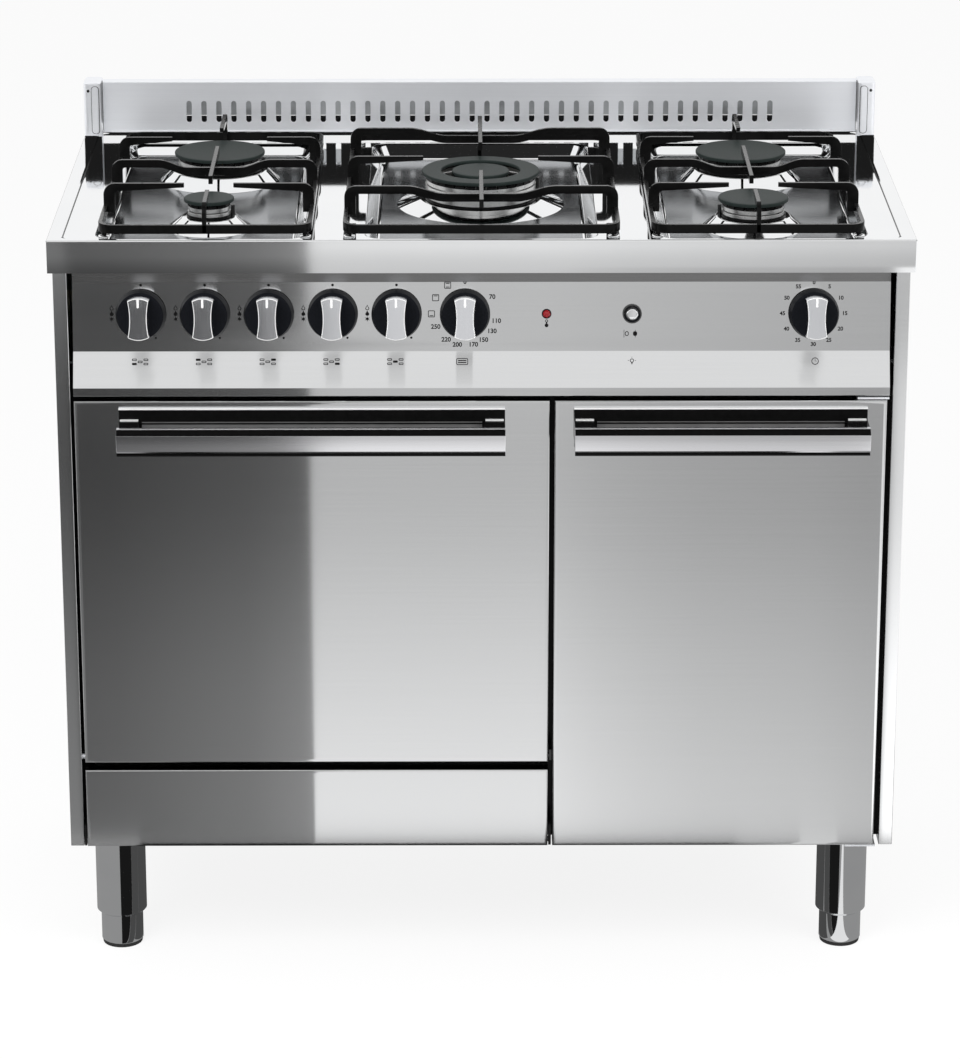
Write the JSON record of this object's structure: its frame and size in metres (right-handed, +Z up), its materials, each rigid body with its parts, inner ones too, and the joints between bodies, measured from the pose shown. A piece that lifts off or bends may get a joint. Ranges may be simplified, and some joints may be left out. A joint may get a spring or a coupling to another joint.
{
  "type": "range cooker",
  "caption": "Free-standing range cooker with a gas hob on a steel cabinet, an oven door over a drop-down flap, a side-hung bottle compartment door and knobs on a sloped panel.",
  "frame": {"origin": "on the floor, under the middle of the whole cooker with its handles", "axes": "+X to the right seen from the front, -Y towards the user, +Z up"},
  "size_m": [0.9, 0.557, 0.8845],
  "materials": {
    "brushed_steel": "fine horizontal brush",
    "polished_steel": "mirror polished",
    "chrome": "polished",
    "galvanised": "zinc coated",
    "vitreous_enamel": "glossy enamel",
    "black_enamel": "satin enamel",
    "cast_alloy": "machined",
    "brass": "machined",
    "insulation": "mineral wool",
    "seal_rubber": "matte",
    "lamp_glass": "clear",
    "ceramic": "glazed ceramic",
    "switch_plastic": "moulded",
    "pilot_red": "translucent",
    "knob_black": "satin",
    "knob_silver": "satin with polished edges"
  },
  "bodies": {
    "cabinet": {"side_panel_left": "brushed_steel", "side_panel_right": "brushed_steel", "back_panel": "galvanised", "base_panel": "galvanised", "centre_partition": "galvanised", "front_frame": "galvanised", "control_panel": "brushed_steel", "hob_top": "polished_steel", "splashback": "brushed_steel", "splashback_end_caps": "brushed_steel", "oven_cavity": "vitreous_enamel", "oven_insulation": "insulation", "oven_door_seal": "seal_rubber", "rack_ladders": "polished_steel", "oven_shelf": "polished_steel", "drip_tray": "vitreous_enamel", "heating_elements": "galvanised", "oven_lamp": "lamp_glass", "gas_rail": "galvanised", "gas_taps": "brass", "burner_cups": "cast_alloy", "burner_crowns": "black_enamel", "burner_caps": "black_enamel", "electrodes": "ceramic", "control_switches": "switch_plastic", "pilot_lamp": "pilot_red", "leg_sleeves": "chrome", "levelling_feet": "chrome", "hinge_pins": "galvanised"},
    "oven_door": {"oven_door_skin": "brushed_steel", "oven_door_liner": "vitreous_enamel", "oven_handle_bar": "chrome", "oven_handle_channel": "black_enamel"},
    "bottle_door": {"bottle_door_skin": "brushed_steel", "bottle_handle_bar": "chrome", "bottle_handle_channel": "black_enamel"},
    "flap": {"flap_panel": "brushed_steel"},
    "tap_spindle_front_left": {"spindle_front_left": "galvanised"},
    "knob_front_left": {"knob_skirt_front_left": "knob_black", "knob_grip_front_left": "knob_silver"},
    "tap_spindle_rear_left": {"spindle_rear_left": "galvanised"},
    "knob_rear_left": {"knob_skirt_rear_left": "knob_black", "knob_grip_rear_left": "knob_silver"},
    "tap_spindle_rear_right": {"spindle_rear_right": "galvanised"},
    "knob_rear_right": {"knob_skirt_rear_right": "knob_black", "knob_grip_rear_right": "knob_silver"},
    "tap_spindle_front_right": {"spindle_front_right": "galvanised"},
    "knob_front_right": {"knob_skirt_front_right": "knob_black", "knob_grip_front_right": "knob_silver"},
    "tap_spindle_centre": {"spindle_centre": "galvanised"},
    "knob_centre": {"knob_skirt_centre": "knob_black", "knob_grip_centre": "knob_silver"},
    "knob_oven": {"knob_skirt_oven": "knob_black", "knob_grip_oven": "knob_silver"},
    "knob_timer": {"knob_skirt_timer": "knob_black", "knob_grip_timer": "knob_silver"},
    "lamp_button": {"lamp_button": "chrome"},
    "pan_support_left": {"pan_support_left": "black_enamel"},
    "pan_support_centre": {"pan_support_centre": "black_enamel"},
    "pan_support_right": {"pan_support_right": "black_enamel"}
  },
  "joints": [
    {"name": "oven_door_hinge", "type": "hinge", "parent": "cabinet", "child": "oven_door", "pos_m": [-0.1775, -0.2255, 0.25], "axis": [1, 0, 0], "range_deg": [0, 90]},
    {"name": "bottle_door_hinge", "type": "hinge", "parent": "cabinet", "child": "bottle_door", "pos_m": [0.4184, -0.2255, 0.4], "axis": [0, 0, 1], "range_deg": [0, 100]},
    {"name": "flap_hinge", "type": "hinge", "parent": "cabinet", "child": "flap", "pos_m": [-0.1775, -0.2255, 0.153], "axis": [1, 0, 0], "range_deg": [0, 90]},
    {"name": "turn_front_left", "type": "hinge", "parent": "cabinet", "child": "tap_spindle_front_left", "pos_m": [-0.355, -0.2141, 0.73988], "axis": [0, -0.9905, 0.1376], "range_deg": [0, 215]},
    {"name": "push_front_left", "type": "slide", "parent": "tap_spindle_front_left", "child": "knob_front_left", "axis": [0, 0.9905, -0.1376], "range_m": [0, 0.003], "stiffness_N_per_m": 500, "springref_m": -0.001},
    {"name": "turn_rear_left", "type": "hinge", "parent": "cabinet", "child": "tap_spindle_rear_left", "pos_m": [-0.2884, -0.2141, 0.73988], "axis": [0, -0.9905, 0.1376], "range_deg": [0, 215]},
    {"name": "push_rear_left", "type": "slide", "parent": "tap_spindle_rear_left", "child": "knob_rear_left", "axis": [0, 0.9905, -0.1376], "range_m": [0, 0.003], "stiffness_N_per_m": 500, "springref_m": -0.001},
    {"name": "turn_rear_right", "type": "hinge", "parent": "cabinet", "child": "tap_spindle_rear_right", "pos_m": [-0.2218, -0.2141, 0.73988], "axis": [0, -0.9905, 0.1376], "range_deg": [0, 215]},
    {"name": "push_rear_right", "type": "slide", "parent": "tap_spindle_rear_right", "child": "knob_rear_right", "axis": [0, 0.9905, -0.1376], "range_m": [0, 0.003], "stiffness_N_per_m": 500, "springref_m": -0.001},
    {"name": "turn_front_right", "type": "hinge", "parent": "cabinet", "child": "tap_spindle_front_right", "pos_m": [-0.1552, -0.2141, 0.73988], "axis": [0, -0.9905, 0.1376], "range_deg": [0, 215]},
    {"name": "push_front_right", "type": "slide", "parent": "tap_spindle_front_right", "child": "knob_front_right", "axis": [0, 0.9905, -0.1376], "range_m": [0, 0.003], "stiffness_N_per_m": 500, "springref_m": -0.001},
    {"name": "turn_centre", "type": "hinge", "parent": "cabinet", "child": "tap_spindle_centre", "pos_m": [-0.0886, -0.2141, 0.73988], "axis": [0, -0.9905, 0.1376], "range_deg": [0, 215]},
    {"name": "push_centre", "type": "slide", "parent": "tap_spindle_centre", "child": "knob_centre", "axis": [0, 0.9905, -0.1376], "range_m": [0, 0.003], "stiffness_N_per_m": 500, "springref_m": -0.001},
    {"name": "turn_oven", "type": "hinge", "parent": "cabinet", "child": "knob_oven", "pos_m": [-0.0173, -0.2141, 0.73988], "axis": [0, 0.9905, -0.1376], "range_deg": [0, 330]},
    {"name": "turn_timer", "type": "hinge", "parent": "cabinet", "child": "knob_timer", "pos_m": [0.3464, -0.2141, 0.73988], "axis": [0, 0.9905, -0.1376], "range_deg": [0, 330]},
    {"name": "button_push", "type": "slide", "parent": "cabinet", "child": "lamp_button", "axis": [0, 0.9905, -0.1376], "range_m": [0, 0.002], "stiffness_N_per_m": 300, "springref_m": -0.001},
    {"name": "lift_left", "type": "slide", "parent": "cabinet", "child": "pan_support_left", "axis": [0, 0, 1], "range_m": [0, 0.1]},
    {"name": "lift_centre", "type": "slide", "parent": "cabinet", "child": "pan_support_centre", "axis": [0, 0, 1], "range_m": [0, 0.1]},
    {"name": "lift_right", "type": "slide", "parent": "cabinet", "child": "pan_support_right", "axis": [0, 0, 1], "range_m": [0, 0.1]}
  ]
}
